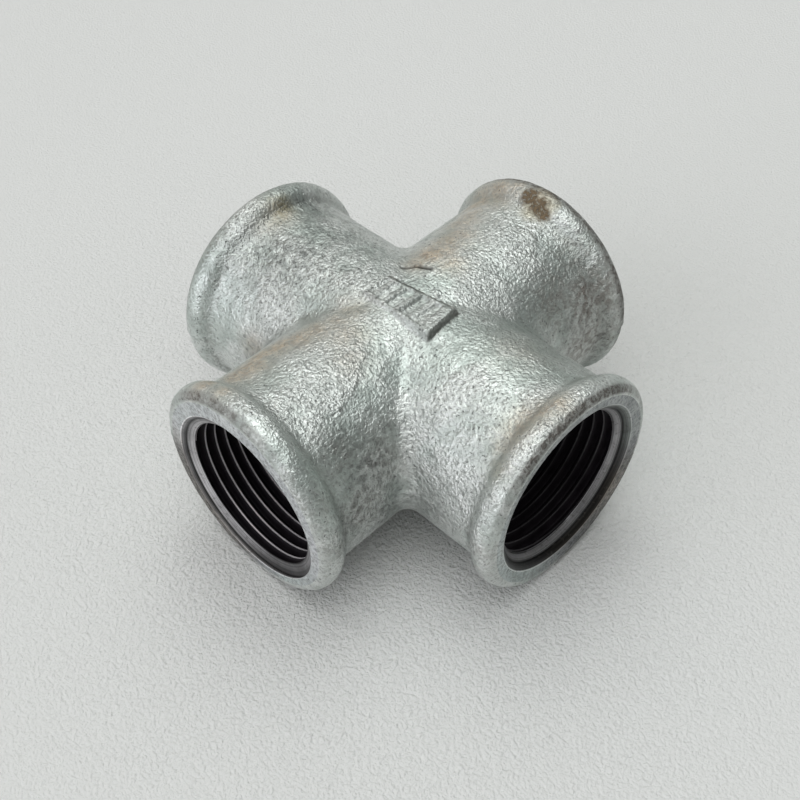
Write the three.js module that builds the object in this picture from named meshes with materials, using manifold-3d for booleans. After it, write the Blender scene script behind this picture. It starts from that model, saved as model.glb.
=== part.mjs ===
// Pipe cross, 3/4 inch, four equal female ports, beaded malleable-iron pattern.
//
// Frame: millimetres, +Z up. The origin is where the two run axes cross. One run lies along X, the other
// along Y, so the four ports face +X, +Y, -X and -Y, and the cross lies flat on the undersides of its beads.
//
// The fitting is a single casting, so it is a single mesh: two crossing barrels with a bead at each end, a
// rounded crotch between each pair of neighbouring barrels, a raised mark pad on top of the hub, a cored
// cavity, and a chamfered and tapped thread in each port.
import * as THREE from 'three';
import { mergeVertices } from 'three/addons/utils/BufferGeometryUtils.js';
import Module from 'manifold-3d';

// ---------------------------------------------------------------- driving dimensions, mm
const CENTRE_TO_END = 33.0;        // crossing of the axes to each port face
const BARREL_R = 15.7;             // outside of the barrels
const BEAD_R = 17.5;               // outside of the beads
const BEAD_WIDTH = 4.1;            // face to the back of the bead
const BEAD_ROUND = 1.15;           // rounding of the bead's two edges
const BEAD_BLEND = 1.6;            // axial length of the hollow between bead and barrel
const FACE_R = 16.3;               // outer edge of the flat port face
const CROTCH_R = 2.8;              // fillet between neighbouring barrels

const THREAD_PITCH = 25.4 / 14;    // 14 threads per inch
const THREAD_MAJOR_R = 26.441 / 2; // roots of the internal thread
const THREAD_MINOR_R = 24.117 / 2; // crests of the internal thread
const THREAD_LENGTH = 15.0;        // port face to the last groove
const THREAD_CREST_FLAT = 0.3;     // width of the crest, in pitches
const CHAMFER_R = 14.0;            // mouth of the lead-in chamfer
const CHAMFER_DEPTH = 1.9;
const CORE_R = 12.75;              // cored cavity behind the threads
const CORE_END = 17.6;             // crossing of the axes to the end of the cored cavity

const PAD_SIZE = [12.8, 6.2];      // mark pad on top of the hub, at its upper face
const PAD_CENTRE = [0.95, 0.1];
const PAD_TOP = 16.6;              // height of its upper face above the run axes
const PAD_DRAFT = 0.55;            // how far its walls run out, and down, round the edge
const PAD_TURN = 1.5;              // degrees

// Each port: the way it faces, as a turn about Z from +X, and how far the tapped bore is off the casting's
// own centre, sideways (towards the turned +Y) and up. The tap follows the machining chuck, not the casting.
const PORTS = [
  { turn: 0, side: -0.4, rise: 0.6, phase: 0.10 },
  { turn: 90, side: 0.0, rise: 0.0, phase: 0.35 },
  { turn: 180, side: 0.2, rise: 0.2, phase: 0.60 },
  { turn: 270, side: 0.0, rise: -0.7, phase: 0.85 },
];

const OUTER_SEGMENTS = 36;         // facets round each barrel, one of them flat on the ground
const BORE_SEGMENTS = 24;          // facets round each bore and thread
const CROTCH_STEPS = 12;

const wasm = await Module();
wasm.setup();

// ---------------------------------------------------------------- helpers
// A closed three.js geometry as a solid, with its faces turned outwards.
function solid(geometry) {
  const g = geometry.clone();
  g.deleteAttribute('normal');
  g.deleteAttribute('uv');
  const m = mergeVertices(g, 1e-5);
  const pos = new Float32Array(m.attributes.position.array);
  const tri = new Uint32Array(m.index.array);
  let volume = 0;
  const v = (i) => new THREE.Vector3(pos[3 * i], pos[3 * i + 1], pos[3 * i + 2]);
  for (let i = 0; i < tri.length; i += 3) {
    volume += v(tri[i]).dot(v(tri[i + 1]).cross(v(tri[i + 2])));
  }
  if (volume < 0) {
    for (let i = 0; i < tri.length; i += 3) {
      const t = tri[i + 1];
      tri[i + 1] = tri[i + 2];
      tri[i + 2] = t;
    }
  }
  // drop the zero-area triangles that a lathe leaves on its axis
  const keep = [];
  for (let i = 0; i < tri.length; i += 3) {
    if (tri[i] !== tri[i + 1] && tri[i + 1] !== tri[i + 2] && tri[i] !== tri[i + 2]) {
      keep.push(tri[i], tri[i + 1], tri[i + 2]);
    }
  }
  return new wasm.Manifold(new wasm.Mesh({
    numProp: 3, vertProperties: pos, triVerts: new Uint32Array(keep),
  }));
}

// A profile of [x, r] pairs turned about the X axis, with a facet, not an edge, at the bottom. The facets
// touch the true circle, so flat to flat measures the real diameter.
function turned(profile, segments) {
  const grow = 1 / Math.cos(Math.PI / segments);
  const g = new THREE.LatheGeometry(
    profile.map(([x, r]) => new THREE.Vector2(r * grow, x)), segments, Math.PI / segments);
  g.rotateZ(-Math.PI / 2);
  return g;
}

// An indexed geometry from plain lists.
function indexed(points, triangles) {
  const g = new THREE.BufferGeometry();
  g.setAttribute('position', new THREE.Float32BufferAttribute(points.flat(), 3));
  g.setIndex(triangles.flat());
  return g;
}

// ---------------------------------------------------------------- outside of the casting
// Half of a run's outline, from the hub to the port face, as [x, r].
function endOutline() {
  const back = CENTRE_TO_END - BEAD_WIDTH;
  const out = [[back - BEAD_BLEND, BARREL_R]];
  out.push([back - 0.45 * BEAD_BLEND, BARREL_R + 0.16 * (BEAD_R - BARREL_R)]);
  out.push([back, BARREL_R + 0.55 * (BEAD_R - BARREL_R)]);
  out.push([back + 0.5 * BEAD_ROUND, BARREL_R + 0.88 * (BEAD_R - BARREL_R)]);
  out.push([back + 1.1 * BEAD_ROUND, BEAD_R]);
  out.push([CENTRE_TO_END - BEAD_ROUND, BEAD_R]);
  const a = 0.8;
  out.push([CENTRE_TO_END - BEAD_ROUND * (1 - Math.sin(a)), FACE_R + (BEAD_R - FACE_R) * Math.cos(a)]);
  out.push([CENTRE_TO_END, FACE_R]);
  return out;
}

function run() {
  const half = endOutline();
  const profile = [[-CENTRE_TO_END, 0]];
  for (const [x, r] of half.slice().reverse()) profile.push([-x, r]);
  for (const [x, r] of half) profile.push([x, r]);
  profile.push([CENTRE_TO_END, 0]);
  return turned(profile, OUTER_SEGMENTS);
}

// The fillet in the corner between the +X and +Y barrels. A ball of radius CROTCH_R rolled up the corner
// touches both barrels, and its centre moves on the ellipse (R + r)(cos a, cos a, sin a).
function crotch() {
  const R = BARREL_R - 0.03;
  const points = [];
  const arc = 3;
  const row = arc + 2;
  for (let i = 0; i <= CROTCH_STEPS; i++) {
    const a = THREE.MathUtils.degToRad(-78 + (156 * i) / CROTCH_STEPS);
    const c = Math.cos(a), s = Math.sin(a);
    const centre = new THREE.Vector3(c, c, s).multiplyScalar(R + CROTCH_R);
    const n1 = new THREE.Vector3(0, -c, -s);
    const n2 = new THREE.Vector3(-c, 0, -s);
    const open = n1.angleTo(n2);
    for (let k = 0; k <= arc; k++) {
      const t = k / arc;
      const dir = n1.clone().multiplyScalar(Math.sin((1 - t) * open))
        .add(n2.clone().multiplyScalar(Math.sin(t * open))).divideScalar(Math.sin(open));
      const p = centre.clone().addScaledVector(dir, CROTCH_R);
      if (i === 0 || i === CROTCH_STEPS) p.multiplyScalar(0.985);
      points.push([p.x, p.y, p.z]);
    }
    points.push([R * c * 0.93, R * c * 0.93, R * s * 0.93]);
  }
  const triangles = [];
  for (let i = 0; i < CROTCH_STEPS; i++) {
    for (let k = 0; k < row; k++) {
      const a = i * row + k, b = i * row + ((k + 1) % row);
      triangles.push([a, b, b + row], [a, b + row, a + row]);
    }
  }
  for (let k = 1; k < row - 1; k++) {
    triangles.push([0, k + 1, k]);
    const e = CROTCH_STEPS * row;
    triangles.push([e, e + k, e + k + 1]);
  }
  return indexed(points, triangles);
}

// The raised pad that carries the foundry's mark, left blank: a straight-sided block with drafted walls.
function pad() {
  const [lx, ly] = PAD_SIZE;
  const outline = new THREE.Shape([
    new THREE.Vector2(-lx / 2, -ly / 2), new THREE.Vector2(lx / 2, -ly / 2),
    new THREE.Vector2(lx / 2, ly / 2), new THREE.Vector2(-lx / 2, ly / 2),
  ]);
  const g = new THREE.ExtrudeGeometry(outline, {
    depth: 1.2, steps: 1, bevelEnabled: true, bevelSegments: 1, bevelThickness: PAD_DRAFT * 1.4, bevelSize: PAD_DRAFT,
  });
  g.rotateZ(THREE.MathUtils.degToRad(PAD_TURN));
  g.translate(PAD_CENTRE[0], PAD_CENTRE[1], PAD_TOP - 1.2 - PAD_DRAFT * 1.4);
  return g;
}

// ---------------------------------------------------------------- what is cut away
// The cored cavity behind the threads of one run.
function core() {
  return turned([
    [-CORE_END, 0], [-CORE_END, CORE_R], [CORE_END, CORE_R], [CORE_END, 0],
  ], BORE_SEGMENTS);
}

// The plain hole that the tap follows, and the lead-in chamfer: a cone that opens towards the face and past it.
function mouth() {
  const slope = (CHAMFER_R - THREAD_MINOR_R) / CHAMFER_DEPTH;
  const hole = THREAD_MINOR_R - 0.03;
  const outer = CENTRE_TO_END + 1;
  return turned([
    [CORE_END - 1, 0], [CORE_END - 1, hole], [CENTRE_TO_END - CHAMFER_DEPTH - 0.03 / slope, hole],
    [outer, CHAMFER_R + slope], [outer, 0],
  ], BORE_SEGMENTS);
}

// The tap: a closed helical plug along X whose surface is the thread. Its rows run along the helix, three to
// the pitch: both edges of the crest, and the root. Crests of the thread are the plug's valleys.
function tap(phase) {
  const N = BORE_SEGMENTS, M = 3;
  const step = [0, THREAD_CREST_FLAT, 0.5 + THREAD_CREST_FLAT / 2];
  const grow = 1 / Math.cos(Math.PI / N);
  const radius = [THREAD_MINOR_R, THREAD_MINOR_R, THREAD_MAJOR_R];
  const first = CENTRE_TO_END - THREAD_LENGTH - THREAD_PITCH;
  const turns = Math.round((THREAD_LENGTH + 2.5 * THREAD_PITCH) / THREAD_PITCH);
  const rows = turns * M;
  const points = [];
  const at = (j, k) => (j === N ? (k + M) : k) * N + (j % N);
  for (let k = 0; k < rows + M; k++) {
    for (let j = 0; j < N; j++) {
      const a = (2 * Math.PI * (j + 0.5)) / N;
      const x = first + THREAD_PITCH * (Math.floor(k / M) + step[k % M] + j / N + phase);
      const r = radius[k % M] * grow;
      points.push([x, r * Math.cos(a), r * Math.sin(a)]);
    }
  }
  const triangles = [];
  for (let k = 0; k < rows - 1; k++) {
    for (let j = 0; j < N; j++) {
      const a = at(j, k), b = at(j + 1, k), c = at(j + 1, k + 1), d = at(j, k + 1);
      triangles.push([a, b, c], [a, c, d]);
    }
  }
  // both ends: a fan from a point on the axis round the edge of the strip
  const fan = (loop, x, flip) => {
    const tip = points.length;
    points.push([x, 0, 0]);
    for (let i = 0; i < loop.length; i++) {
      const a = loop[i], b = loop[(i + 1) % loop.length];
      triangles.push(flip ? [tip, b, a] : [tip, a, b]);
    }
  };
  const start = [];
  for (let j = 0; j <= N; j++) start.push(at(j, 0));
  for (let k = M - 1; k > 0; k--) start.push(at(0, k));
  fan(start, first - 1, true);
  const end = [];
  for (let j = 0; j <= N; j++) end.push(at(j, rows - 1));
  for (let k = M - 1; k > 0; k--) end.push(at(0, rows - 1 + k));
  fan(end, first + THREAD_PITCH * (turns + 2), false);
  // only the vertices in use
  return indexed(points, triangles);
}

// ---------------------------------------------------------------- the casting
let body = solid(run()).add(solid(run().rotateZ(Math.PI / 2)));
for (let i = 0; i < 4; i++) body = body.add(solid(crotch().rotateZ((i * Math.PI) / 2)));
body = body.add(solid(pad()));

body = body.subtract(solid(core())).subtract(solid(core().rotateZ(Math.PI / 2)));
for (const port of PORTS) {
  const turn = THREE.MathUtils.degToRad(port.turn);
  for (const g of [mouth(), tap(port.phase)]) {
    g.translate(0, port.side, port.rise);
    g.rotateZ(turn);
    body = body.subtract(solid(g));
  }
}

const cut = body.getMesh();
const geometry = new THREE.BufferGeometry();
const props = cut.numProp;
const position = new Float32Array((cut.vertProperties.length / props) * 3);
for (let i = 0; i < position.length / 3; i++) {
  for (let k = 0; k < 3; k++) position[3 * i + k] = cut.vertProperties[props * i + k];
}
geometry.setAttribute('position', new THREE.BufferAttribute(position, 3));
geometry.setIndex(new THREE.BufferAttribute(new Uint32Array(cut.triVerts), 1));
geometry.computeVertexNormals();

const group = new THREE.Group();
const cross = new THREE.Mesh(geometry, new THREE.MeshStandardMaterial({
  color: 0xa9b0ad, roughness: 0.42, metalness: 0.85,
}));
cross.name = 'cross_body';
group.add(cross);

export default group;
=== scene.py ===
import math

import bmesh
import bpy
import numpy as np
from mathutils import Matrix, Vector

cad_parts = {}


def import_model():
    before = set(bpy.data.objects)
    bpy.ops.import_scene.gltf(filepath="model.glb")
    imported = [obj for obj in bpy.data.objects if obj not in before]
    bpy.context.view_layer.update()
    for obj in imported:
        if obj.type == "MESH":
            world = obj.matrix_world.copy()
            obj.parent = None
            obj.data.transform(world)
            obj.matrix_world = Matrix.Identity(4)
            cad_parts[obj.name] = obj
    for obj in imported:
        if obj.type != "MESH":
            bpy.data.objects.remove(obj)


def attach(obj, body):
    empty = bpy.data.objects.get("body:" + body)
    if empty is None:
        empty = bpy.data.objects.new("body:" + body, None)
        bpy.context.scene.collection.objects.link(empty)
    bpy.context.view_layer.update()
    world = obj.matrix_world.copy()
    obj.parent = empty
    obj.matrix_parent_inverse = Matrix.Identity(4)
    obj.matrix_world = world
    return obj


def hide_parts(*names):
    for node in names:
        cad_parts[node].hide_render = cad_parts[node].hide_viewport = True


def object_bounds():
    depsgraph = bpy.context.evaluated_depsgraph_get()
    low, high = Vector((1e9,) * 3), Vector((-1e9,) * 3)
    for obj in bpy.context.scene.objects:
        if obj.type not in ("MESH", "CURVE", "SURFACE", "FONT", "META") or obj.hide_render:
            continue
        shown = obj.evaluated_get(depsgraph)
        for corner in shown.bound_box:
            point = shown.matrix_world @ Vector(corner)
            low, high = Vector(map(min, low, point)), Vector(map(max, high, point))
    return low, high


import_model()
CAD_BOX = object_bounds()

# ------------------------------------------------------------------ sizes, mm, as in the CAD part
END = 33.0                # crossing of the axes to each port face
BARREL = 15.7
BEAD = 17.5
FACE = 16.3
BEAD_W = 4.1
CROTCH = 2.8
PITCH = 25.4 / 14
MAJOR = 26.441 / 2
MINOR = 24.117 / 2
CHAMFER_R = 14.0
CHAMFER_D = 1.9
CORE = 12.75
CORE_END = 17.6
PORTS = [                 # turn about Z, thread axis off the run axis sideways and up, depth of a crest at angle 0,
    # the mouth as (depth, radius, further offset sideways and up), and the depth of the cut line that the tool left in it
    dict(turn=0, side=-0.4, rise=0.6, crest=0.05, step=0.93, mouth=[
        (0.0, 14.0, 0, 0), (0.80, 13.06, 0, 0), (0.88, 13.00, 0, 0), (1.00, 12.84, 0, 0), (1.08, 12.72, 0, 0), (1.98, 12.00, 0, 0)]),
    dict(turn=90, side=0.0, rise=0.0, crest=0.70, step=0.80, mouth=[
        (0.0, 14.0, 0, 0), (0.70, 13.30, 0, 0), (0.78, 13.28, 0, 0), (0.86, 13.06, 0, 0), (1.75, 12.06, 0, 0)]),
    dict(turn=180, side=0.2, rise=0.2, crest=1.20, step=0.70, mouth=[
        (0.0, 14.0, 0, 0), (0.60, 13.45, 0, 0), (0.68, 13.43, 0, 0), (0.76, 13.18, 0, 0), (1.60, 12.06, 0, 0)]),
    dict(turn=270, side=0.0, rise=-0.7, crest=0.30, step=0.60, mouth=[
        (0.0, 14.0, 0, 0), (0.52, 13.84, 0.36, -0.28), (0.64, 13.66, 0.40, -0.31), (0.74, 13.36, 0.33, -0.26), (1.21, 12.07, 0, 0)]),
]
# the mark pad on top: corners (x, y), a height that falls towards its left end, a raised border and plain bars
PAD = [(-5.4, -3.2), (8.25, -3.5), (7.5, 3.45), (-5.4, 2.3)]
PAD_TOP, PAD_TILT = 16.85, 0.055
CRACK = [(-5.9, 5.6, 14.6), (-5.0, 6.3, 14.9), (-4.1, 7.1, 15.2), (-3.1, 7.3, 15.4), (-2.1, 7.8, 15.6)]

NO, NB, STEP = 248, 96, 0.41   # columns round a barrel, columns round a bore, spacing


# ------------------------------------------------------------------ noise
def _table(seed):
    rng = np.random.default_rng(seed)
    perm = rng.permutation(256)
    g = rng.normal(size=(256, 3))
    g /= np.linalg.norm(g, axis=1)[:, None]
    return np.concatenate([perm, perm]), g


def noise(p, size, seed):
    """Gradient noise of the points p (mm), about -1 to 1, with lumps about `size` mm across."""
    perm, g = _table(seed)
    q = p / size + 100.0
    i = np.floor(q).astype(int)
    f = q - i
    u = f * f * f * (f * (f * 6 - 15) + 10)
    i &= 255
    out = np.zeros(len(p))
    for dx in (0, 1):
        for dy in (0, 1):
            for dz in (0, 1):
                h = perm[(perm[(perm[(i[:, 0] + dx) & 255] + i[:, 1] + dy) & 255] + i[:, 2] + dz) & 255]
                d = (g[h] * (f - (dx, dy, dz))).sum(1)
                w = (u[:, 0] if dx else 1 - u[:, 0]) * (u[:, 1] if dy else 1 - u[:, 1]) * (u[:, 2] if dz else 1 - u[:, 2])
                out += d * w
    return out * 1.6


def smooth(a, b, x):
    t = np.clip((x - a) / (b - a), 0, 1)
    return t * t * (3 - 2 * t)


# ------------------------------------------------------------------ the mesh, as columns zipped together
V, F, FM, CREST = [], [], [], []
CAST, FACED, THREAD, CAVITY, MOUTH = 0, 1, 2, 3, 4
count = 0


def put(points, crest=None):
    """Adds points and gives their numbers; crest is 1 on the tops of the thread and 0 in its grooves."""
    global count
    start, count = count, count + len(points)
    V.append(np.asarray(points, float))
    CREST.append(np.zeros(len(points)) if crest is None else np.asarray(crest, float))
    return list(range(start, count))


def zipper(a, pa, b, pb, mat, flip=False):
    i = k = 0
    while i < len(a) - 1 or k < len(b) - 1:
        if k == len(b) - 1 or (i < len(a) - 1 and pa[i + 1] <= pb[k + 1] + 1e-9):
            t = (a[i], b[k], a[i + 1]); i += 1
        else:
            t = (a[i], b[k], b[k + 1]); k += 1
        F.append((t[0], t[2], t[1]) if flip else t)
        FM.append(mat(t) if callable(mat) else mat)


def bead_profile():
    """Outline from the end of the plain barrel to the rim of the port face, as (x, r)."""
    key = [(-7.2, BARREL), (-6.2, BARREL + 0.03), (-5.4, BARREL + 0.14), (-4.8, BARREL + 0.42), (-4.25, BARREL + 0.92),
           (-3.7, BARREL + 1.38), (-3.1, BARREL + 1.67), (-2.45, BEAD - 0.01), (-1.85, BEAD), (-1.3, BEAD - 0.10),
           (-0.8, BEAD - 0.32), (-0.42, BEAD - 0.62), (-0.18, BEAD - 0.90), (-0.07, FACE)]
    key = np.array(key)
    # a smooth curve through the keys, resampled evenly
    pts = []
    n = len(key)
    for i in range(n - 1):
        p0, p1, p2, p3 = key[max(i - 1, 0)], key[i], key[i + 1], key[min(i + 2, n - 1)]
        for t in np.linspace(0, 1, 12, endpoint=False):
            pts.append(0.5 * ((2 * p1) + (-p0 + p2) * t + (2 * p0 - 5 * p1 + 4 * p2 - p3) * t * t + (-p0 + 3 * p1 - 3 * p2 + p3) * t ** 3))
    pts.append(key[-1])
    pts = np.array(pts)
    s = np.concatenate([[0], np.cumsum(np.linalg.norm(np.diff(pts, axis=0), axis=1))])
    m = int(round(s[-1] / 0.34))
    t = np.linspace(0, s[-1], m + 1)
    out = np.stack([np.interp(t, s, pts[:, 0]) + END, np.interp(t, s, pts[:, 1])], 1)
    out[-1] = (END - 0.07, FACE)
    return out


def world(turn, pts):
    c, s = round(math.cos(math.radians(turn)), 12), round(math.sin(math.radians(turn)), 12)
    p = np.asarray(pts, float)
    return np.stack([p[:, 0] * c - p[:, 1] * s, p[:, 0] * s + p[:, 1] * c, p[:, 2]], 1)


BP = bead_profile()


def build_outside(turn):
    th = 2 * np.pi * np.arange(NO) / NO
    cs, sn = np.round(np.cos(th), 12), np.round(np.sin(th), 12)
    grid = np.arange(0, BP[0, 0] - 0.3 * STEP, STEP)
    cols = []
    for j in range(NO):
        xs = (BARREL + CROTCH) * abs(cs[j])
        x = np.concatenate([[xs], grid[grid > xs + 0.4 * STEP], BP[:, 0]])
        r = np.concatenate([np.full(len(x) - len(BP), BARREL), BP[:, 1]])
        pos = np.concatenate([x[:len(x) - len(BP)], BP[0, 0] + np.arange(len(BP)) * 0.35])
        cols.append((put(world(turn, np.stack([x, r * cs[j], r * sn[j]], 1))), pos))
    for j in range(NO):
        a, b = cols[j], cols[(j + 1) % NO]
        zipper(a[0], a[1], b[0], b[1], CAST)
    return [c[0][-1] for c in cols]


def build_crotch(turn):
    cols = []
    for j in range(-NO // 4, NO // 4 + 1):
        a = 2 * np.pi * j / NO
        c, s = round(math.cos(a), 12), round(math.sin(a), 12)
        e = (BARREL + CROTCH) * np.array([c, c, s])
        n1, n2 = np.array([0, -c, -s]), np.array([-c, 0, -s])
        ang = math.acos(max(-1, min(1, float(n1 @ n2))))
        m = int(round(CROTCH * ang / STEP)) if ang > 1e-6 else 0
        m = max(m, 1) if ang > 1e-6 else 0
        t = np.linspace(0, 1, m + 1)
        if m == 0:
            pts = [e + CROTCH * n1]
        else:
            pts = [e + CROTCH * (math.sin((1 - q) * ang) * n1 + math.sin(q * ang) * n2) / math.sin(ang) for q in t]
        cols.append((put(world(turn, pts)), t if m else np.array([0.0])))
    for i in range(len(cols) - 1):
        a, b = cols[i], cols[i + 1]
        zipper(a[0], a[1], b[0], b[1], CAST, flip=True)


def thread_r(x, theta, crest):
    """Radius of the tapped surface at depth END - x and angle theta, in the port's own frame."""
    u = np.mod((END - x - crest) / PITCH + theta / (2 * np.pi), 1.0)   # 0 at a crest
    d = np.minimum(u, 1 - u)
    rc = 0.137329 * PITCH
    crest_half, root_half = 0.1218, 0.3782
    k = math.tan(math.radians(62.5))
    y0 = MINOR + rc * (1 - math.sin(math.radians(27.5)))
    r = y0 + (d - crest_half) * PITCH * k
    a = d * PITCH
    r = np.where(d < crest_half, MINOR + rc - np.sqrt(np.maximum(rc * rc - a * a, 0)), r)
    b = (0.5 - d) * PITCH
    r = np.where(d > root_half, MAJOR - rc + np.sqrt(np.maximum(rc * rc - b * b, 0)), r)
    return r


def build_bore(port, rim):
    turn, side, rise, crest = port["turn"], port["side"], port["rise"], port["crest"]
    th = 2 * np.pi * np.arange(NB) / NB
    cs, sn = np.round(np.cos(th), 12), np.round(np.sin(th), 12)
    u = np.array([-0.1218, 0.0, 0.1218, 0.25, 0.3782, 0.5, 0.6218, 0.75])
    mouth = np.array(port["mouth"])
    last = mouth[-1, 0]
    rings = np.array([0.0, 0.10, 0.30] + [d for d in mouth[1:-1, 0]] + [port["step"]])
    rings = np.unique(np.concatenate([rings, np.linspace(mouth[-2, 0] + 0.14, last - 0.02, 3)]))
    cols = []
    for j in range(NB):
        # depths of this column's rows, following the helix past the mouth
        k = np.arange(-2, 12)[:, None]
        d = np.sort(((k + u[None, :] - th[j] / (2 * np.pi)) * PITCH + crest).ravel())
        d = d[(d > last + 0.05) & (d < END - CORE_END - 0.15)]
        keep = rings[np.min(np.abs(rings[:, None] - d[None, :]), axis=1) > 0.05]
        depth = np.concatenate([np.sort(np.concatenate([keep, d])), [END - CORE_END]])
        x = END - depth
        rt = thread_r(x, th[j], crest)
        run_out = smooth(CORE_END, CORE_END + 1.6 * PITCH, x)
        rt = CORE + (rt - CORE) * run_out
        rc = np.interp(depth, np.append(mouth[:, 0], 3.0), np.append(mouth[:, 1], 11.0))
        # the fine step: a shallow cut line round the mouth
        rc = rc + 0.14 * np.exp(-((depth - port["step"]) / 0.07) ** 2)
        r = np.where(depth < last, rc, np.maximum(rt, rc))
        r[0] = CHAMFER_R + 0.10
        r[-1] = CORE
        r[depth < 0.06] = CHAMFER_R + 0.10
        top = np.clip(1 - (r - MINOR) / 0.22, 0, 1) * run_out * (depth > last - 0.01)
        w = smooth(CORE_END, CORE_END + 2.0, x)
        du, dv = np.interp(depth, mouth[:, 0], mouth[:, 2]), np.interp(depth, mouth[:, 0], mouth[:, 3])
        pts = np.stack([x, r * cs[j] + side * w + du, r * sn[j] + rise * w + dv], 1)
        # the cored cavity, to where the two runs' cavities meet
        xs = CORE * abs(cs[j])
        inner = np.arange(CORE_END - 1.0, xs + 0.5, -1.0)
        tail = np.concatenate([inner, [xs]])
        pts = np.concatenate([pts, np.stack([tail, np.full(len(tail), CORE * cs[j]), np.full(len(tail), CORE * sn[j])], 1)])
        pos = np.concatenate([depth, END - tail])
        cols.append((put(world(turn, pts), np.concatenate([top, np.zeros(len(tail))])), pos))
    edge = END - CORE_END

    for j in range(NB):
        a, b = cols[j], cols[(j + 1) % NB]
        ia, ib = dict(zip(a[0], a[1])), dict(zip(b[0], b[1]))
        both = {**ia, **ib}

        def mat(t):
            m = max(both[q] for q in t)
            return CAVITY if m > edge + 0.01 else (THREAD if m > last - 0.01 else MOUTH)

        zipper(a[0], a[1], b[0], b[1], mat)
    # the flat port face, from the chamfer's mouth to the rim
    ring = [c[0][0] for c in cols]
    inner = put(world(turn, np.stack([np.full(NB, END), (CHAMFER_R + 0.32) * cs + side, (CHAMFER_R + 0.32) * sn + rise], 1)))
    tho = 2 * np.pi * np.arange(NO) / NO
    outer = put(world(turn, np.stack([np.full(NO, END), (FACE - 0.50) * np.cos(tho), (FACE - 0.50) * np.sin(tho)], 1)))

    def closed(ids, n):
        return ids + [ids[0]], np.arange(n + 1) / n

    a, b = closed(ring, NB), closed(inner, NB)
    zipper(a[0], a[1], b[0], b[1], FACED)
    a, b = closed(inner, NB), closed(outer, NO)
    zipper(a[0], a[1], b[0], b[1], FACED)
    a, b = closed(outer, NO), closed(rim, NO)
    zipper(a[0], a[1], b[0], b[1], CAST)


for port in PORTS:
    rim = build_outside(port["turn"])
    build_crotch(port["turn"])
    build_bore(port, rim)

verts = np.concatenate(V)
mesh = bpy.data.meshes.new("cross_casting")
mesh.from_pydata((verts * 0.001).tolist(), [], F)
mesh.polygons.foreach_set("material_index", FM)
top_attr = mesh.attributes.new("crest", "FLOAT", "POINT")
top_attr.data.foreach_set("value", np.concatenate(CREST))
mesh.update()

# weld the seams, then cut the mesh finer where the mark pad stands and at the cold shut beside it
bm = bmesh.new()
bm.from_mesh(mesh)
bmesh.ops.remove_doubles(bm, verts=bm.verts, dist=2e-7)
bmesh.ops.dissolve_degenerate(bm, edges=bm.edges, dist=1e-8)
crack = np.array(CRACK)


def crack_distance(p):
    best = np.full(len(p), 1e9)
    side = np.zeros(len(p))
    for a, b in zip(crack[:-1], crack[1:]):
        t = np.clip(((p - a) @ (b - a)) / ((b - a) @ (b - a)), 0, 1)
        q = p - (a + t[:, None] * (b - a))
        d = np.linalg.norm(q, axis=1)
        near = d < best
        best = np.where(near, d, best)
        side = np.where(near, q[:, 1] - 0.3 * q[:, 0], side)
    return best, side


def fine(e):
    c = (e.verts[0].co + e.verts[1].co) * 500
    if c.z < 13.2:
        return False
    if -7.2 < c.x < 9.6 and -5.0 < c.y < 5.0:
        return True
    return crack_distance(np.array([[c.x, c.y, c.z]]))[0][0] < 1.1


edges = [e for e in bm.edges if fine(e)]
bmesh.ops.subdivide_edges(bm, edges=edges, cuts=1, use_grid_fill=True)
bmesh.ops.triangulate(bm, faces=[f for f in bm.faces if len(f.verts) > 3])
bmesh.ops.recalc_face_normals(bm, faces=bm.faces)
bm.to_mesh(mesh)
bm.free()
print("faces", len(mesh.polygons), "mended", mesh.validate())

n = len(mesh.vertices)
co = np.empty(n * 3); mesh.vertices.foreach_get("co", co); co = co.reshape(-1, 3) * 1000
mesh.polygons.foreach_set("use_smooth", [True] * len(mesh.polygons))
mesh.update()
nor = np.empty(n * 3); mesh.vertices.foreach_get("normal", nor); nor = nor.reshape(-1, 3)

ax, ay, az = np.abs(co[:, 0]), np.abs(co[:, 1]), co[:, 2]
rx, ry = np.hypot(co[:, 1], az), np.hypot(co[:, 0], az)
along = np.maximum(ax, ay)
outer = np.minimum(rx, ry) > BARREL - 0.4
face_side = along > END - 0.02
cast = np.where(outer & ~face_side, 1.0, 0.0)
cast *= 1 - smooth(END - 0.6, END - 0.02, along) * 0.8

# the mark pad, raised straight up from the skin
corner = np.array(PAD)
inside = np.full(n, 1e9)        # distance inside each side of the outline, the least of them
edge_d = []
for i in range(4):
    a, b = corner[i], corner[(i + 1) % 4]
    t = (b - a) / np.linalg.norm(b - a)
    edge_d.append(t[0] * (co[:, 1] - a[1]) - t[1] * (co[:, 0] - a[0]))
front, right, back, left = edge_d
inside = np.minimum.reduce(edge_d)
wob = 0.10 * noise(co, 1.6, 11)
inside_w = inside + wob
top = PAD_TOP - PAD_TILT * (8.0 - co[:, 0])
# a border along the front and the back, a wide one at the right end, and plain bars across the sunk field
rimward = np.minimum.reduce([front, right - 1.15, back]) + wob
field = smooth(0.70, 1.05, rimward) * smooth(0.3, 0.9, left)
bars = np.zeros(n)
for bx, bh in ((3.55, 0.55), (1.05, 1.0), (-1.65, 0.8), (-3.9, 0.7)):
    lean = co[:, 0] - bx - 0.05 * co[:, 1] + wob
    bars = np.maximum(bars, bh * (1 - smooth(0.35, 0.75, np.abs(lean))))
top = top - 0.28 * np.exp(-((back - 0.42 + wob) / 0.26) ** 2) - 0.75 * field * (1 - 0.95 * bars)
target = top - np.clip(0.22 - inside_w, 0, None) * 4.5 + 0.05 * noise(co, 0.9, 12)
up = np.where((az > 13) & outer, target - az, -9)
k = 0.10
lift = 0.5 * (up + np.sqrt(up * up + k * k)) * smooth(-0.6, -0.1, up)
co[:, 2] += lift
on_pad = smooth(0.0, 0.2, lift)
cast *= 1 - 0.45 * on_pad
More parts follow.
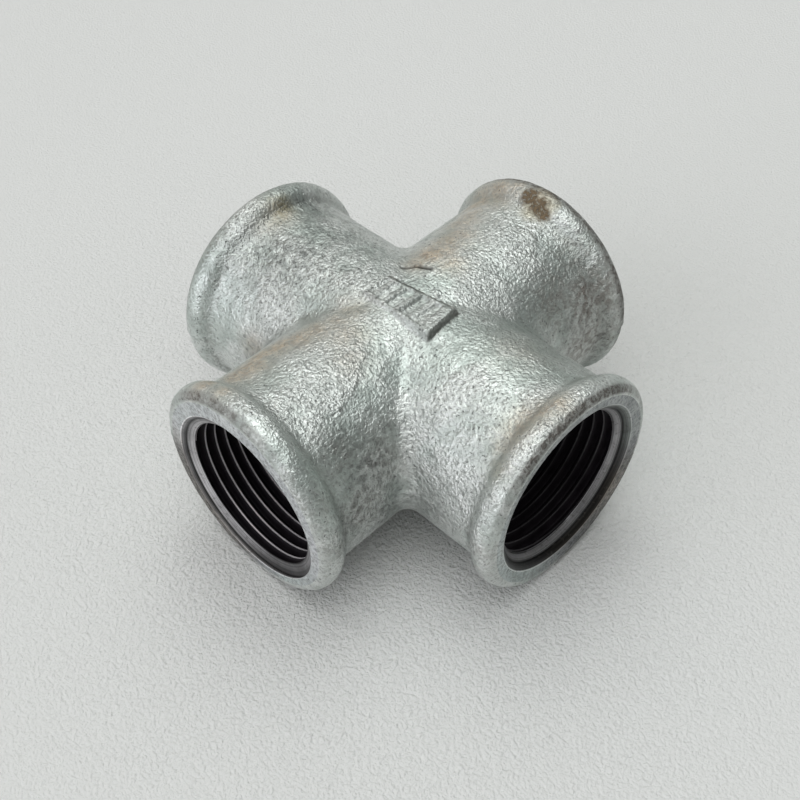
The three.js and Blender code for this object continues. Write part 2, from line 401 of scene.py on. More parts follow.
# painted shade in the corner behind the pad and on the wall at its right end
hem = np.exp(-((back - 0.22 + wob) / 0.34) ** 2) * smooth(-0.5, 0.4, np.minimum(left, right)) * (az > 13) * outer
hem = np.maximum(hem, np.exp(-((right + 0.02 + wob) / 0.30) ** 2) * smooth(-0.5, 0.2, np.minimum(front, back)) * (az > 13) * outer)

# where the finish differs, from 0 to 1: the front corner of each bead, darkened partly by wear and dirt and partly as
# painted shade, set by angle round each port; painted shade in the valley at its foot; and warm stains
depth_in = END - along
rad = np.where(ax > ay, rx, ry)
on_arm = outer & (rad > BARREL - 0.3) & (along > 20)
arm = np.where(ax >= ay, np.where(co[:, 0] > 0, 0, 2), np.where(co[:, 1] > 0, 1, 3))
low = 1 - 0.6 * smooth(-2.0, -9.0, az)
rim_reach = np.array([(0.60, 1.10), (1.2, 2.8), (0.6, 1.4), (0.6, 1.3)])[arm]
rim = np.where(on_arm, smooth(16.0, 16.3, rad) * (1 - smooth(rim_reach[:, 0], rim_reach[:, 1], depth_in)), 0.0) 
ang_a, ang_b = np.degrees(np.arctan2(az + 0.7, co[:, 0])) % 360, np.degrees(np.arctan2(az - 0.6, co[:, 1] + 0.4)) % 360
rim *= np.where(arm == 0, np.interp(ang_b, [0, 30, 55, 125, 140, 160, 200, 352, 360], [0.15, 0.4, 1.0, 1.0, 0.6, 0.2, 0.05, 0.1, 0.15]),
                np.where(arm == 3, np.interp(ang_a, [0, 50, 80, 115, 140, 165, 185, 300, 360], [0.12, 0.2, 0.7, 0.95, 0.45, 0.2, 0.1, 0.1, 0.12]),
                         np.where(arm == 1, 1.0 * low, 0.5 * low)))
# dirt and painted shade on the outer ring of two ports' faces, by angle round each
dirt_and_painted_shade = np.where(arm == 3, np.interp(ang_a, [0, 170, 184, 250, 272, 292, 360], [0, 0, 1.2, 1.1, 0.4, 0, 0]),
                 np.where(arm == 0, np.interp(ang_b, [0, 250, 275, 300, 335, 355, 360], [0, 0, 0.9, 1.2, 1.0, 0.2, 0.1]), 0.0))
rim = np.maximum(rim, dirt_and_painted_shade * smooth(15.4, 15.7, rad) * (1 - smooth(0.5, 1.1, depth_in)) * on_arm)
# painted shade in the valley at the foot of each bead
foot = np.where(on_arm, np.exp(-((depth_in - 4.9) / 0.75) ** 2), 0.0)
STAINS = [  # x, y, z, radius, strength
    (-7.0, 20.1, 14.1, 3.2, 0.6),
    (-9.8, 27.0, 12.4, 3.2, 0.9),
    (-7.3, 28.9, 15.1, 3.0, 0.8),
    (-4.5, 15.6, 15.1, 3.2, 0.6),
    (-4.8, 29.8, 16.7, 2.4, 0.65),
    (0.0, 31.8, 17.4, 2.0, 0.6),
    (-7.8, -25.3, 13.6, 2.6, 1.0),
    (-7.7, -23.1, 13.6, 2.8, 1.0),
    (-8.8, -20.0, 12.9, 2.8, 1.0),
    (-7.8, -17.7, 13.5, 2.8, 0.95),
    (-6.3, -15.1, 14.4, 2.8, 0.85),
    (-5.5, -12.7, 14.7, 2.8, 0.75),
    (-4.4, -9.7, 15.0, 2.6, 0.6),
    (-4.6, -6.4, 15.0, 2.6, 0.5),
    (-17.5, -15.2, 4.1, 2.4, 0.6),
    (-8.5, -30.2, 15.2, 2.2, 0.85),
    (-4.3, -30.5, 17.0, 1.8, 0.6),
    (-0.9, -10.7, 15.7, 3.2, 0.45),
    (2.8, -13.5, 15.5, 3.0, 0.3),
    (-4.3, 11.8, 15.1, 2.8, 1.0),
    (-4.6, 10.4, 15.0, 2.6, 1.0),
    (-4.8, 14.1, 15.0, 2.8, 0.8),
    (-4.7, 16.8, 15.0, 2.8, 0.7),
    (-7.5, 22.6, 13.8, 2.8, 0.6),
    (-9.8, 28.0, 12.7, 2.6, 0.75),
    (-6.3, 27.8, 14.6, 3.0, 0.65),
    (-4.7, 7.9, 15.0, 2.0, 0.9),
    (-0.7, 10.6, 15.7, 2.4, 0.6),
    (29.6, -1.5, 17.3, 2.2, 0.85),
    (29.0, -3.2, 16.5, 2.4, 0.8),
    (28.2, -4.6, 15.5, 2.4, 0.75),
    (28.0, -6.7, 14.6, 2.4, 0.7),
    (28.0, -9.0, 13.3, 2.2, 0.5),
    (28.9, -11.6, 12.1, 2.2, 0.4),
    (-27.7, 0.2, 15.9, 2.6, 0.7),
    (-27.7, -2.3, 15.7, 2.2, 0.45),
    (18.5, 4.2, 15.1, 4, 0.2),
]
# darker skin and painted shade: spots that darken the skin on the flanks, in the saddles between the arms and on top
# of the -X arm; x, y, z, radius, strength
SKIN_AND_PAINTED_SHADE = [
    (-19.9, -4.3, 15.1, 8, 0.85),
    (-19.8, 1.4, 15.6, 7, 0.72),
    (-19.7, -9.7, 12.3, 5, 0.15),
    (-12.7, -2.8, 15.4, 7, 0.60),
    (6.2, 22.9, 14.4, 5, 0.1),
    (14.0, -21.0, 7.0, 6, 0.9),
    (15.5, -18.9, -1.7, 6, 0.8),
    (15.5, -26.5, 2.6, 5, 0.8),
    (10.0, -22.8, 12.1, 4, 0.4),
    (15.2, -26.6, -4.0, 4, 0.7),
    (20.2, -15.5, -0.6, 4, 0.5),
    (15.7, 28.3, -3.7, 5, 0.5),
    (15.3, 21.8, 3.4, 5, 0.5),
    (12.3, -16.0, 9.9, 4, 0.4),
    (-29.2, 15.7, 6.6, 4, 0.3),
    (-12.5, -12.5, 6.5, 4.5, 0.9),
    (-17.0, -14.5, 3.0, 4.5, 0.8),
    (-9.5, -9.5, 10.0, 3.5, 0.5),
    (-26.5, 5.5, 13.5, 4.5, 0.75),
    (-24.0, 9.0, 11.0, 4.5, 0.5),
    (9.5, 9.5, 10.0, 4.0, 0.35),
]
# brownish grime and painted shade on the flanks that face +X, away from the light; x, y, z, radius, strength
GRIME_AND_PAINTED_SHADE = [
    (12.3, 20.9, 9.7, 6.5, 0.55), (14.2, 26.7, 7.0, 6.5, 0.85), (9.6, 27.6, 12.7, 4.5, 0.45), (16.5, 25.0, 0.0, 7.0, 0.7),
    (12.5, -18.5, 6.5, 4.5, 0.40), (14.5, -24.5, 3.0, 4.0, 0.50), (11.5, -24.0, 10.5, 3.5, 0.35),
    (31.0, -17.0, 0.5, 3.0, 0.30), (30.5, -16.0, -4.5, 3.0, 0.30), (14.5, -30.5, 8.0, 3.0, 0.22), (16.5, -30.5, 2.0, 3.0, 0.25),
]
warm = np.zeros(n)
for sx, sy, sz, sr, sw in STAINS:
    warm = np.maximum(warm, sw * np.exp(-((co[:, 0] - sx) ** 2 + (co[:, 1] - sy) ** 2 + (co[:, 2] - sz) ** 2) / (2 * (0.76 * sr) ** 2)))
warm *= outer
grime = np.zeros(n)
for sx, sy, sz, sr, sw in GRIME_AND_PAINTED_SHADE:
    grime = np.maximum(grime, sw * np.exp(-((co[:, 0] - sx) ** 2 + (co[:, 1] - sy) ** 2 + (co[:, 2] - sz) ** 2) / (2 * (0.62 * sr) ** 2)))
grime *= outer
shade = np.zeros(n)             # darker skin, and painted shade on the flanks, in the saddles between the arms and on top of the -X arm
for sx, sy, sz, sr, sw in SKIN_AND_PAINTED_SHADE:
    shade = np.maximum(shade, sw * np.exp(-((co[:, 0] - sx) ** 2 + (co[:, 1] - sy) ** 2 + (co[:, 2] - sz) ** 2) / (2 * (0.62 * sr) ** 2)))
shade *= outer


def around(theta, keys):
    """A value that goes round a port: keys are (degrees, value)."""
    k2 = sorted((q[0] % 360, q[1]) for q in keys)
    return np.interp(np.mod(np.degrees(theta), 360), [q[0] for q in k2], [q[1] for q in k2], period=360)


# how light the cut metal of each port is, by angle round it: partly its own oily, dirty or bright finish and partly
# painted light and shade; and its hue: 0 greenish, 0.5 neutral to violet, 1 brown
TONES = [
    dict(face=[(0, .56), (345, .42), (336, .34), (297, .28), (278, .34), (264, .52), (245, .80), (208, .95), (180, .90), (150, .72), (120, .66), (60, .60), (30, .58)],
         face_hue=[(0, .35), (-40, .9), (-80, .5), (-120, .15), (120, .4)],
         wall=[(40, .24), (0, .19), (-12, .11), (-25, .055), (-50, .022), (-95, .020), (-130, .045), (180, .22), (90, .28)],
         wall_hue=[(40, .1), (0, .1), (-35, .8), (-90, .9), (-130, .3), (180, .3)],
         band=[(40, .40), (0, .38), (-30, .32), (-60, .27), (-100, .24), (-140, .20), (180, .3), (90, .36)],
         line=0.15, shine=[(60, .25), (30, .34), (0, .22), (-40, .05), (-90, .07), (-130, .22), (180, .08), (100, .08)]),
    dict(face=[(0, .85), (180, .85)], face_hue=[(0, .5)], wall=[(0, .28)], wall_hue=[(0, .5)], band=[(0, .36)], line=0.09, shine=[(0, .6)]),
    dict(face=[(0, .85), (180, .85)], face_hue=[(0, .5)], wall=[(0, .28)], wall_hue=[(0, .5)], band=[(0, .36)], line=0.09, shine=[(0, .6)]),
    dict(face=[(0, 1.0), (120, 1.0), (160, .95), (176, .70), (186, .28), (200, .24), (232, .25), (254, .34), (274, .60), (300, .96)],
         face_hue=[(0, .5), (150, .4), (185, .7), (230, .8), (260, .7), (300, .2)],
         wall=[(150, .26), (180, .17), (230, .20), (300, .28), (0, .4), (90, .22)],
         wall_hue=[(180, .5), (240, .6), (300, .5), (0, .5)],
         band=[(120, .38), (150, .44), (180, .46), (215, .48), (250, .32), (285, .14), (320, .12), (0, .3), (90, .36)],
         line=0.10, shine=[(0, 1.0)]),
]
tone, hue = np.ones(n), np.full(n, 0.5)
turned = np.where(~outer, depth_in, 0.0)
for i, (port, look) in enumerate(zip(PORTS, TONES)):
    yl = (co[:, 1], -co[:, 0], -co[:, 1], co[:, 0])[i]
    theta = np.arctan2(az - port["rise"], yl - port["side"])
    last = port["mouth"][-1][0]
    bore = (arm == i) & ~outer & (depth_in > 0.02)
    line = np.exp(-((depth_in - port["step"]) / look["line"]) ** 2)
    t_ = np.where(depth_in < port["step"], around(theta, look["wall"]), around(theta, look["band"]))
    if i == 3:      # a painted highlight: a bright line on the near lower lip
        t_ = t_ * (1 + 1.1 * np.exp(-((depth_in - 0.76) / 0.05) ** 2) * around(theta, [(170, 0), (200, 1), (255, 1), (275, 0), (0, 0)]))
    # painted shade: the cut line round the mouth darkened almost to black
    t_ = t_ * (1 - 0.96 * line)
    t_ = np.where(depth_in > last - 0.005, around(theta, look["shine"]), t_)
    h_ = np.where(depth_in < port["step"], around(theta, look["wall_hue"]), 0.5)
    tone = np.where(bore, t_, tone)
    hue = np.where(bore, h_, hue)
    flat = (arm == i) & (depth_in <= 0.02)
    tone = np.where(flat, around(theta, look["face"]), tone)
    hue = np.where(flat, around(theta, look["face_hue"]), hue)

# the cold shut: a thin fold where two streams of iron met
cd, cside = crack_distance(co)
fold = -0.36 * np.exp(-(cd / 0.26) ** 2) + 0.03 * np.exp(-((cd - 0.5) / 0.3) ** 2) * (cside > 0)
fold *= outer

# the uneven skin of a sand casting
d = 0.10 * noise(co, 9.0, 1) + 0.060 * noise(co, 3.4, 2) + 0.045 * noise(co, 1.5, 3) + 0.022 * noise(co, 0.85, 4)
# the joint of the mould: a low flash ridge, and the lower half a little smaller just under it
ridge = np.exp(-(az / 0.28) ** 2) * (0.10 + 0.07 * noise(co, 2.2, 5))
step = -0.16 * (az < 0) * np.exp(az / 3.0) * (1 - np.exp(-(az / 0.25) ** 2))
d = d * (1 - 0.30 * smooth(16.3, 17.2, np.where(on_arm, rad, 0)))
d = d + ridge + step
for name, value in (("rim", rim), ("foot", foot), ("warm", warm), ("grime", grime), ("shade", shade), ("pad", on_pad), ("hem", hem),
                    ("tone", tone), ("hue", hue), ("turned", turned), ("shut", np.exp(-(cd / 0.34) ** 2) * outer)):
    layer = mesh.attributes.new(name, "FLOAT", "POINT")
    layer.data.foreach_set("value", value.astype(np.float32))
co += nor * (d * cast + fold)[:, None]
# nothing stands outside the casting's stated size
co[:, 2] = np.clip(co[:, 2], -17.5, 17.5)
co[:, :2] = np.clip(co[:, :2], -END, END)
mesh.vertices.foreach_set("co", (co * 0.001).ravel())
mesh.update()

body = bpy.data.objects.new("cross_casting", mesh)
bpy.context.scene.collection.objects.link(body)


# ------------------------------------------------------------------ materials
def nodes(name):
    m = bpy.data.materials.new(name)
    m.use_nodes = True
    t = m.node_tree
    return m, t, t.nodes["Principled BSDF"]


def add(t, kind, **props):
    nd = t.nodes.new(kind)
    for k2, v in props.items():
        if k2 in nd.inputs:
            nd.inputs[k2].default_value = v
        else:
            setattr(nd, k2, v)
    return nd


def ramp(t, src, stops, interp="LINEAR"):
    r = t.nodes.new("ShaderNodeValToRGB")
    r.color_ramp.interpolation = interp
    el = r.color_ramp.elements
    while len(el) > 1:
        el.remove(el[0])
    el[0].position, el[0].color = stops[0][0], stops[0][1]
    for p2, c in stops[1:]:
        e = el.new(p2); e.color = c
    t.links.new(src, r.inputs[0])
    return r


def grey(v):
    return (v, v, v, 1)


def noise_tex(t, scale, detail=4.0, rough=0.55, distortion=0.0, coord=None, lac=2.0):
    nd = add(t, "ShaderNodeTexNoise")
    nd.inputs["Scale"].default_value = scale
    nd.inputs["Detail"].default_value = detail
    nd.inputs["Roughness"].default_value = rough
    nd.inputs["Distortion"].default_value = distortion
    nd.inputs["Lacunarity"].default_value = lac
    t.links.new(coord, nd.inputs["Vector"])
    return nd


def mix(t, fac, a, b, blend="MIX"):
    m = t.nodes.new("ShaderNodeMix")
    m.data_type = "RGBA"
    m.blend_type = blend
    for sock, v in ((m.inputs[0], fac), (m.inputs[6], a), (m.inputs[7], b)):
        if isinstance(v, (float, int)):
            sock.default_value = v
        elif isinstance(v, tuple):
            sock.default_value = v
        else:
            t.links.new(v, sock)
    return m.outputs[2]


def math_node(t, op, a, b=None, clamp=False):
    m = t.nodes.new("ShaderNodeMath")
    m.operation = op
    m.use_clamp = clamp
    for sock, v in ((m.inputs[0], a), (m.inputs[1], b)):
        if v is None:
            continue
        if isinstance(v, (float, int)):
            sock.default_value = v
        else:
            t.links.new(v, sock)
    return m.outputs[0]


def spot(t, coord, centre, radius, soft=0.5, wobble=None, wobble_amount=0.0):
    """1 inside a ball about `centre` (mm), fading to 0 past `radius` mm; wobble breaks up its edge."""
    dist = t.nodes.new("ShaderNodeVectorMath")
    dist.operation = "DISTANCE"
    t.links.new(coord, dist.inputs[0])
    dist.inputs[1].default_value = tuple(c * 0.001 for c in centre)
    v = dist.outputs["Value"]
    if wobble is not None:
        v = math_node(t, "ADD", v, math_node(t, "MULTIPLY", math_node(t, "SUBTRACT", wobble, 0.5), wobble_amount * 0.001))
    mr = t.nodes.new("ShaderNodeMapRange")
    mr.interpolation_type = "SMOOTHSTEP"
    mr.inputs["From Min"].default_value = radius * 0.001 * (1 - soft)
    mr.inputs["From Max"].default_value = radius * 0.001 * (1 + soft)
    mr.inputs["To Min"].default_value = 1.0
    mr.inputs["To Max"].default_value = 0.0
    t.links.new(v, mr.inputs["Value"])
    return mr.outputs[0]


def bump(t, height, distance, strength=1.0, normal=None):
    b = t.nodes.new("ShaderNodeBump")
    b.inputs["Strength"].default_value = strength
    b.inputs["Distance"].default_value = distance
    t.links.new(height, b.inputs["Height"])
    if normal is not None:
        t.links.new(normal, b.inputs["Normal"])
    return b.outputs["Normal"]


def layer(t, name):
    a = t.nodes.new("ShaderNodeAttribute")
    a.attribute_type = "GEOMETRY"
    a.attribute_name = name
    return a.outputs["Fac"]


def gate(t, src, lo, hi, a=0.0, b=1.0):
    r = t.nodes.new("ShaderNodeMapRange")
    r.interpolation_type = "SMOOTHSTEP"
    for k2, v in (("From Min", lo), ("From Max", hi), ("To Min", a), ("To Max", b)):
        r.inputs[k2].default_value = v
    t.links.new(src, r.inputs["Value"])
    return r.outputs[0]


def mul(t, *v):
    out = v[0]
    for x in v[1:]:
        out = math_node(t, "MULTIPLY", out, x)
    return out


HUES = [(0.0, (0.90, 1.0, 0.94, 1)), (0.5, (1.0, 0.985, 1.0, 1)), (1.0, (1.0, 0.83, 0.66, 1))]


def zinc_casting():
    m, t, p = nodes("galvanised_casting")
    tc = t.nodes.new("ShaderNodeTexCoord").outputs["Object"]
    big = noise_tex(t, 110, 3, 0.5, 0.3, tc).outputs["Fac"]
    mid = noise_tex(t, 420, 4, 0.6, 0.3, tc).outputs["Fac"]
    peel = noise_tex(t, 2050, 2.5, 0.55, 0.30, tc).outputs["Fac"]
    coarse = noise_tex(t, 900, 2.0, 0.5, 0.4, tc).outputs["Fac"]
    fine = noise_tex(t, 4600, 1.0, 0.5, 0.0, tc).outputs["Fac"]
    speck = noise_tex(t, 2300, 1.0, 0.5, 0.2, tc).outputs["Fac"]
    pit = mul(t, gate(t, speck, 0.650, 0.715), gate(t, coarse, 0.46, 0.58))

    base = ramp(t, mid, [(0.30, (0.59, 0.62, 0.60, 1)), (0.52, (0.72, 0.75, 0.73, 1)), (0.75, (0.84, 0.865, 0.845, 1))]).outputs["Color"]
    patina = ramp(t, big, [(0.38, (0.76, 0.80, 0.78, 1)), (0.54, (1, 1, 0.995, 1))]).outputs["Color"]
    col = mix(t, 1.0, base, patina, "MULTIPLY")
    # the hollows of the skin hold a little dull oxide
    hollow = gate(t, peel, 0.36, 0.48, 1.0, 0.0)
    col = mix(t, mul(t, hollow, 0.50), col, (0.28, 0.29, 0.275, 1))
    # warm stains, strongest where the skin stands up
    warm = mul(t, layer(t, "warm"), gate(t, mid, 0.30, 0.60, 0.60, 1.1), gate(t, peel, 0.34, 0.56, 0.50, 1.05))
    tan = ramp(t, coarse, [(0.36, (0.37, 0.305, 0.235, 1)), (0.50, (0.54, 0.455, 0.35, 1)), (0.64, (0.66, 0.57, 0.45, 1))]).outputs["Color"]
    col = mix(t, math_node(t, "MINIMUM", warm, 0.95), col, tan)
    # brownish grime with painted shade on the flanks that face away from the light, painted shade in the valley at
    # each bead's foot, and the front corner of each bead darkened, partly worn and mottled and partly as painted shade
    blot = gate(t, coarse, 0.38, 0.62, 0.45, 1.35)
    col = mix(t, mul(t, layer(t, "grime"), gate(t, mid, 0.30, 0.62, 0.65, 1.0), blot), col, (0.30, 0.275, 0.25, 1))
    # painted shade: the valley at each bead's foot darkened
    foot = mul(t, layer(t, "foot"), gate(t, mid, 0.40, 0.62, 0.25, 1.0))
    col = mix(t, mul(t, foot, 0.58), col, (0.29, 0.305, 0.285, 1))
    # the front corner of each bead darkened: partly wear and dirt, partly painted shade on the slopes that face away
    # from the light
    rim = mul(t, layer(t, "rim"), gate(t, peel, 0.40, 0.60, 0.62, 1.0), gate(t, big, 0.36, 0.54, 0.75, 1.0), gate(t, coarse, 0.34, 0.52, 0.64, 1.1))
    col = mix(t, mul(t, math_node(t, "MINIMUM", rim, 1.0), 0.92), col, (0.085, 0.072, 0.06, 1))
    pad = layer(t, "pad")
    col = mix(t, mul(t, pad, gate(t, coarse, 0.36, 0.62, 0.14, 0.44)), col, (0.25, 0.25, 0.235, 1))
    # painted shade behind the pad and on its right end wall
    hem = mul(t, layer(t, "hem"), gate(t, mid, 0.30, 0.60, 0.75, 1.0))
    col = mix(t, mul(t, hem, 0.75), col, (0.10, 0.095, 0.08, 1))
    rust = spot(t, tc, (-1.2, 29.4, 16.9), 1.60, 0.35, coarse, 2.2)
    rust = math_node(t, "MAXIMUM", rust, spot(t, tc, (1.0, 28.7, 16.6), 1.65, 0.40, coarse, 1.8))
    rust = math_node(t, "MAXIMUM", rust, spot(t, tc, (2.3, 28.3, 16.0), 1.20, 0.45, coarse, 1.8))
    rust = mul(t, rust, gate(t, peel, 0.36, 0.48, 0.55, 1.0))
    halo = spot(t, tc, (1.0, 28.7, 16.6), 2.6, 0.5, mid, 4.0)
    col = mix(t, mul(t, halo, 0.45), col, (0.52, 0.44, 0.27, 1))
    col = mix(t, mul(t, rust, 0.93), col, ramp(t, peel, [(0.40, (0.066, 0.040, 0.017, 1)), (0.60, (0.160, 0.104, 0.050, 1))]).outputs["Color"])
    olive = mul(t, spot(t, tc, (-28.4, 1.7, 16.2), 1.7, 0.7, mid, 4.0), gate(t, peel, 0.38, 0.55, 0.45, 1.0))
    col = mix(t, mul(t, olive, 0.75), col, (0.22, 0.19, 0.105, 1))
    # darker skin and painted shade: the skin darkened, mottled, at the spots listed above
    col = mix(t, 1.0, col, math_node(t, "SUBTRACT", 1.0, mul(t, layer(t, "shade"), blot, 0.46)), "MULTIPLY")
    shut = layer(t, "shut")
    col = mix(t, shut, col, (0.018, 0.015, 0.010, 1))
    col = mix(t, mul(t, pit, 0.70), col, (0.09, 0.09, 0.085, 1))
    t.links.new(col, p.inputs["Base Color"])

    dull = math_node(t, "MAXIMUM", rust, mul(t, warm, 0.45))
    dull = math_node(t, "MAXIMUM", dull, math_node(t, "MAXIMUM", rim, pit))
    dull = math_node(t, "MAXIMUM", dull, math_node(t, "MAXIMUM", shut, mul(t, pad, 0.15)))
    t.links.new(math_node(t, "SUBTRACT", 0.78, mul(t, dull, 0.45)), p.inputs["Metallic"])
    rough = gate(t, mid, 0.32, 0.66, 0.47, 0.30)
    rough = math_node(t, "ADD", rough, mul(t, dull, 0.26))
    t.links.new(rough, p.inputs["Roughness"])

    # the skin's relief: ripples under a millimetre long, deeper in some places than in others
    depth = gate(t, big, 0.38, 0.60, 0.55, 1.2)
    h = math_node(t, "ADD", peel, mul(t, fine, 0.10))
    h = math_node(t, "ADD", h, mul(t, coarse, 0.55))
    h = mul(t, h, depth)
    h = math_node(t, "SUBTRACT", h, mul(t, pit, 0.45))
    t.links.new(bump(t, h, 0.00036, 1.0), p.inputs["Normal"])
    return m


def zinc_face():
    m, t, p = nodes("galvanised_face")
    tc = t.nodes.new("ShaderNodeTexCoord").outputs["Object"]
    a = noise_tex(t, 260, 4, 0.6, 0.2, tc).outputs["Fac"]
    b = noise_tex(t, 1500, 3, 0.6, 0.3, tc).outputs["Fac"]
    col = ramp(t, a, [(0.3, (0.50, 0.525, 0.53, 1)), (0.55, (0.62, 0.645, 0.65, 1)), (0.8, (0.70, 0.72, 0.72, 1))]).outputs["Color"]
    # the face lighter or darker by angle round the port through the tone: partly its own dirt, partly painted light
    # and shade
    face_dirt_and_painted_shade = math_node(t, "SUBTRACT", 1.0, layer(t, "tone"))
    fac = math_node(t, "ADD", layer(t, "tone"), mul(t, face_dirt_and_painted_shade, math_node(t, "SUBTRACT", b, 0.5), 1.6), clamp=True)
    col = mix(t, 1.0, col, fac, "MULTIPLY")
    col = mix(t, 1.0, col, ramp(t, layer(t, "hue"), HUES).outputs["Color"], "MULTIPLY")
    c = noise_tex(t, 2050, 2.5, 0.55, 0.3, tc).outputs["Fac"]
    col = mix(t, 1.0, col, ramp(t, c, [(0.36, grey(0.66)), (0.50, grey(0.98)), (0.62, grey(1.12))]).outputs["Color"], "MULTIPLY")
    col = mix(t, gate(t, b, 0.58, 0.70, 0.0, 0.65), col, (0.16, 0.155, 0.145, 1))
    t.links.new(col, p.inputs["Base Color"])
    p.inputs["Metallic"].default_value = 0.70
    t.links.new(gate(t, a, 0.3, 0.7, 0.50, 0.36), p.inputs["Roughness"])
    h = math_node(t, "ADD", mul(t, a, 0.8), mul(t, b, 0.9))
    h = math_node(t, "ADD", h, mul(t, c, 0.6))
    t.links.new(bump(t, h, 0.00030, 1.0), p.inputs["Normal"])
    return m


def cut_mouth():
    """The countersunk lip that leads into the thread: cut, then greyed by the zinc and by dirt, and lighter or darker
    by angle with painted light and shade.
    """
    m, t, p = nodes("cut_lip")
    tc = t.nodes.new("ShaderNodeTexCoord").outputs["Object"]
    a = noise_tex(t, 300, 4, 0.6, 0.2, tc).outputs["Fac"]
    b = noise_tex(t, 1600, 3, 0.6, 0.0, tc).outputs["Fac"]
    col = ramp(t, a, [(0.32, grey(0.80)), (0.52, grey(1.0)), (0.75, grey(1.12))]).outputs["Color"]
    col = mix(t, 1.0, col, ramp(t, layer(t, "hue"), HUES).outputs["Color"], "MULTIPLY")
    # the tone by angle: partly the lip's own greying and dirt, partly painted light and shade
    col = mix(t, 1.0, col, layer(t, "tone"), "MULTIPLY")
    # fine turned lines round the lip
    marks = add(t, "ShaderNodeTexNoise")
    marks.noise_dimensions = "1D"
    marks.inputs["Scale"].default_value = 7.0
    marks.inputs["Detail"].default_value = 2.0
    t.links.new(layer(t, "turned"), marks.inputs["W"])
    col = mix(t, 1.0, col, ramp(t, marks.outputs["Fac"], [(0.38, grey(0.55)), (0.50, grey(0.95)), (0.62, grey(1.25))]).outputs["Color"], "MULTIPLY")
    col = mix(t, gate(t, b, 0.56, 0.70, 0.0, 0.5), col, (0.07, 0.062, 0.055, 1))
    t.links.new(col, p.inputs["Base Color"])
    p.inputs["Metallic"].default_value = 0.45
    p.inputs["Specular IOR Level"].default_value = 0.25
    t.links.new(gate(t, a, 0.3, 0.7, 0.52, 0.40), p.inputs["Roughness"])
    t.links.new(bump(t, math_node(t, "ADD", mul(t, a, 0.6), mul(t, b, 0.3)), 0.00006, 1.0), p.inputs["Normal"])
    return m


def bare_thread():
    """Tapped iron: oily flanks and roots, painted near black as shade, and thin bright rubbed crests, lighter or
    darker by port as painted light and shade.
    """
    m, t, p = nodes("tapped_iron")
    tc = t.nodes.new("ShaderNodeTexCoord").outputs["Object"]
    a = noise_tex(t, 500, 4, 0.6, 0.2, tc).outputs["Fac"]
    # oil and painted shade: flanks and roots near black
    groove = ramp(t, a, [(0.3, (0.006, 0.004, 0.006, 1)), (0.7, (0.014, 0.011, 0.014, 1))]).outputs["Color"]
    crest = ramp(t, a, [(0.3, (0.80, 0.76, 0.79, 1)), (0.7, (1.0, 0.96, 0.99, 1))]).outputs["Color"]
    k = gate(t, layer(t, "crest"), 0.50, 0.90)
    # painted light and shade: the crests lighter or darker by port and angle through the tone
    crest = mix(t, 1.0, crest, layer(t, "tone"), "MULTIPLY")
    t.links.new(mix(t, k, groove, crest), p.inputs["Base Color"])
    t.links.new(mul(t, k, 0.5), p.inputs["Metallic"])
    p.inputs["Specular IOR Level"].default_value = 0.12
    t.links.new(gate(t, k, 0.0, 1.0, 0.55, 0.38), p.inputs["Roughness"])
    t.links.new(bump(t, a, 0.00005, 0.6), p.inputs["Normal"])
    return m


def cavity_skin():
    m, t, p = nodes("cored_cavity")
    tc = t.nodes.new("ShaderNodeTexCoord").outputs["Object"]
    a = noise_tex(t, 700, 5, 0.65, 0.3, tc).outputs["Fac"]
    col = ramp(t, a, [(0.3, (0.030, 0.026, 0.026, 1)), (0.7, (0.085, 0.078, 0.075, 1))]).outputs["Color"]
    t.links.new(col, p.inputs["Base Color"])
    p.inputs["Metallic"].default_value = 0.5
    p.inputs["Roughness"].default_value = 0.6
    t.links.new(bump(t, a, 0.00025, 1.0), p.inputs["Normal"])
    return m


for mat in (zinc_casting(), zinc_face(), bare_thread(), cavity_skin(), cut_mouth()):
    mesh.materials.append(mat)

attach(body, "root")
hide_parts("cross_body")

# ------------------------------------------------------------------ floor, light, camera
floor_mesh = bpy.data.meshes.new("floor")
fz = CAD_BOX[0][2] if not isinstance(CAD_BOX, dict) else -0.0175
s = 6.0
floor_mesh.from_pydata([(-s, -s, fz), (s, -s, fz), (s, s, fz), (-s, s, fz)], [], [(0, 1, 2, 3)])
floor = bpy.data.objects.new("floor", floor_mesh)
bpy.context.scene.collection.objects.link(floor)
m, t, p = nodes("pale_table")
tc = t.nodes.new("ShaderNodeTexCoord").outputs["Object"]
g1 = noise_tex(t, 2000, 2, 0.5, 0.3, tc).outputs["Fac"]
p.inputs["Base Color"].default_value = (0.72, 0.72, 0.71, 1)
p.inputs["Roughness"].default_value = 0.6
g2 = noise_tex(t, 1150, 2, 0.5, 0.5, tc).outputs["Fac"]
near = spot(t, tc, (0.0, -8.0, -17.5), 62.0, 0.75)
g1 = mul(t, g1, math_node(t, "ADD", 1.0, mul(t, near, 0.9)))
g1 = math_node(t, "ADD", g1, mul(t, g2, near, 2.2))
t.links.new(bump(t, g1, 0.00019, 1.0), p.inputs["Normal"])
floor_mesh.materials.append(m)


# a soft ceiling overhead, a window low on the near left, all as glow in the world
def glow(t, azimuth, elevation, tightness, colour):
    """A soft patch of light in the sky of the world about one direction, as (colour socket)."""
    a, e = math.radians(azimuth), math.radians(elevation)
    d = t.nodes.new("ShaderNodeVectorMath")
    d.operation = "DOT_PRODUCT"
    t.links.new(t.nodes["Texture Coordinate"].outputs["Generated"], d.inputs[0])
    d.inputs[1].default_value = (math.cos(e) * math.cos(a), math.cos(e) * math.sin(a), math.sin(e))
    p = math_node(t, "POWER", math_node(t, "MAXIMUM", d.outputs["Value"], 0.0), tightness)
    sc = t.nodes.new("ShaderNodeVectorMath")
    sc.operation = "SCALE"
    sc.inputs[0].default_value = colour
    t.links.new(p, sc.inputs["Scale"])
    return sc.outputs[0]


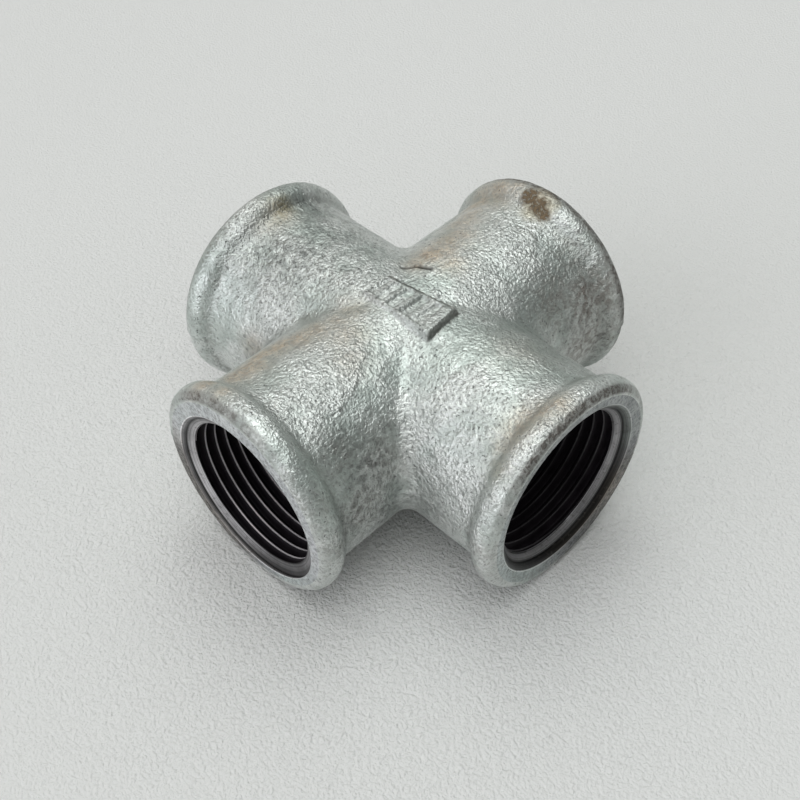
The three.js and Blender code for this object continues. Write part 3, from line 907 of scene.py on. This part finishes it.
w = bpy.data.worlds.new("studio")
bpy.context.scene.world = w
w.use_nodes = True
wt = w.node_tree
wt.nodes.new("ShaderNodeTexCoord")
total = None
for az_, el_, k_, c_ in (
    (0, 90, 8, (2.20, 2.28, 2.27)),
    (135, 60, 14, (1.98, 2.04, 1.97)),
    (315, 62, 16, (0.90, 0.90, 0.88)),
    (242, 8, 16, (1.20, 1.22, 1.30)),
    (268, 8, 16, (2.02, 1.95, 2.10)),
    (255, 34, 12, (1.05, 1.06, 1.06)),
    (180, 25, 8, (0.20, 0.15, 0.12)),
):
    g = glow(wt, az_, el_, k_, c_)
    if total is None:
        total = g
    else:
        ad = wt.nodes.new("ShaderNodeVectorMath")
        ad.operation = "ADD"
        wt.links.new(total, ad.inputs[0])
        wt.links.new(g, ad.inputs[1])
        total = ad.outputs[0]
up = wt.nodes.new("ShaderNodeVectorMath")
up.operation = "DOT_PRODUCT"
wt.links.new(wt.nodes["Texture Coordinate"].outputs["Generated"], up.inputs[0])
up.inputs[1].default_value = (0, 0, 1)
haze = math_node(wt, "POWER", math_node(wt, "SUBTRACT", 1.0, math_node(wt, "MAXIMUM", up.outputs["Value"], 0.0)), 6)
band = wt.nodes.new("ShaderNodeVectorMath")
band.operation = "SCALE"
band.inputs[0].default_value = (0.46, 0.47, 0.465)
wt.links.new(haze, band.inputs["Scale"])
ad = wt.nodes.new("ShaderNodeVectorMath")
ad.operation = "ADD"
wt.links.new(total, ad.inputs[0])
wt.links.new(band.outputs[0], ad.inputs[1])
wt.links.new(ad.outputs[0], wt.nodes["Background"].inputs["Color"])
wt.nodes["Background"].inputs["Strength"].default_value = 1.0
bpy.context.scene.view_settings.view_transform = "Standard"

cam = bpy.data.cameras.new("camera")
cam.sensor_width = 36.0
cam.lens = 1265.084 / 800 * 36.0
cam.clip_start = 0.01
cam_obj = bpy.data.objects.new("camera", cam)
bpy.context.scene.collection.objects.link(cam_obj)
R_ = Vector((0.710789, 0.703146, -0.019085))
U_ = Vector((-0.511729, 0.535526, 0.671822))
B_ = Vector((0.48261, -0.467757, 0.740466))
mw = Matrix((
    (R_.x, U_.x, B_.x, 0.095915), (R_.y, U_.y, B_.y, -0.0943169), (R_.z, U_.z, B_.z, 0.1422578), (0, 0, 0, 1)))
cam_obj.matrix_world = mw
bpy.context.scene.camera = cam_obj
